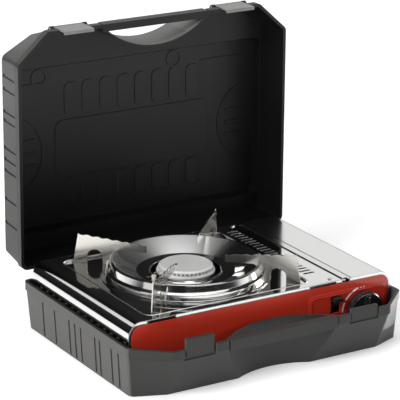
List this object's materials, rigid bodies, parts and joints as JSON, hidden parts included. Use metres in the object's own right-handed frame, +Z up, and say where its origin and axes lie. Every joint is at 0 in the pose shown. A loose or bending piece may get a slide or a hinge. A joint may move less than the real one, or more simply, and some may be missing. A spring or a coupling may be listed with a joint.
{
  "type": "camping gas stove",
  "caption": "Portable gas stove in its open carrying case, with a lid and latches, a burner under a finned pan support, a control knob, a lock lever and a hinged cartridge cover.",
  "frame": {"origin": "middle of the case width and of the rim depth, on the flat underside of the case tray that rests on the ground", "axes": "+X to the right of the stove, where the knob and cartridge bay are, +Y to the back, towards the case hinge, +Z up"},
  "size_m": [0.395, 0.3764, 0.382],
  "materials": {
    "tray_plastic": "fine moulded grain",
    "lid_plastic": "satin moulded",
    "latch_plastic": "satin moulded",
    "pin_steel": "drawn",
    "base_steel": "galvanised",
    "foot_rubber": "matt",
    "panel_enamel": "gloss enamel",
    "plate_steel": "bright polished",
    "cover_steel": "bright polished",
    "screw_steel": "plated",
    "support_chrome": "bright",
    "burner_alloy": "satin cast",
    "tube_steel": "drawn",
    "nozzle_brass": "turned",
    "valve_alloy": "die cast",
    "knob_plastic": "gloss",
    "piezo_plastic": "gloss",
    "ceramic": null,
    "lead_rubber": "sleeved",
    "lever_plastic": "gloss"
  },
  "bodies": {
    "case": {"case_tray": "tray_plastic", "lid_hinge_pins": "pin_steel"},
    "lid": {"case_lid": "lid_plastic", "latch_pins": "pin_steel"},
    "latch_left": {"latch_left": "latch_plastic"},
    "latch_right": {"latch_right": "latch_plastic"},
    "stove": {"base_pan": "base_steel", "stove_feet": "foot_rubber", "front_panel": "panel_enamel", "top_plate": "plate_steel", "heat_shield": "base_steel", "plate_screws": "screw_steel", "cover_hinge_rod": "pin_steel", "cartridge_guide": "base_steel", "burner_cap": "burner_alloy", "burner_cap_screw": "screw_steel", "burner_cup": "burner_alloy", "burner_bracket": "base_steel", "burner_screws": "screw_steel", "mixing_tube": "tube_steel", "gas_nozzle": "nozzle_brass", "valve_body": "valve_alloy", "valve_screws": "screw_steel", "piezo_igniter": "piezo_plastic", "igniter_bracket": "base_steel", "igniter_ceramic": "ceramic", "igniter_electrode": "pin_steel", "igniter_lead": "lead_rubber"},
    "pan_support": {"pan_support_ring": "support_chrome", "pan_fin_back_right": "support_chrome", "pan_fin_back_left": "support_chrome", "pan_fin_front_left": "support_chrome", "pan_fin_front_right": "support_chrome"},
    "cover": {"cartridge_cover": "cover_steel"},
    "knob": {"control_knob": "knob_plastic", "valve_spindle": "nozzle_brass"},
    "lever": {"lock_lever": "lever_plastic"},
    "pusher": {"cartridge_pusher": "base_steel"}
  },
  "joints": [
    {"name": "lid_hinge", "type": "hinge", "parent": "case", "child": "lid", "pos_m": [0, 0.16, 0.0665], "axis": [-1, 0, 0], "range_deg": [-90, 0]},
    {"name": "latch_left_hinge", "type": "hinge", "parent": "lid", "child": "latch_left", "pos_m": [-0.118, 0.1735, 0.3792], "axis": [-1, 0, 0], "range_deg": [0, 100]},
    {"name": "latch_right_hinge", "type": "hinge", "parent": "lid", "child": "latch_right", "pos_m": [0.118, 0.1735, 0.3792], "axis": [-1, 0, 0], "range_deg": [0, 100]},
    {"name": "stove_lift", "type": "slide", "parent": "case", "child": "stove", "axis": [0, 0, 1], "range_m": [0, 0.15]},
    {"name": "pan_support_lift", "type": "slide", "parent": "stove", "child": "pan_support", "axis": [0, 0, 1], "range_m": [0, 0.06]},
    {"name": "cover_hinge", "type": "hinge", "parent": "stove", "child": "cover", "pos_m": [0.1202, 0.016, 0.0836], "axis": [0, -1, 0], "range_deg": [0, 95]},
    {"name": "knob_turn", "type": "hinge", "parent": "stove", "child": "knob", "pos_m": [0.1465, -0.115, 0.043], "axis": [0, -1, 0], "range_deg": [0, 150]},
    {"name": "lever_slide", "type": "slide", "parent": "stove", "child": "lever", "axis": [0, 0, -1], "range_m": [0, 0.015]},
    {"name": "pusher_slide", "type": "slide", "parent": "stove", "child": "pusher", "axis": [0, -1, 0], "range_m": [0, 0.008]}
  ],
  "couplings": [
    {"joint": "pusher_slide", "follows": "lever_slide", "ratio": 0.53333}
  ]
}
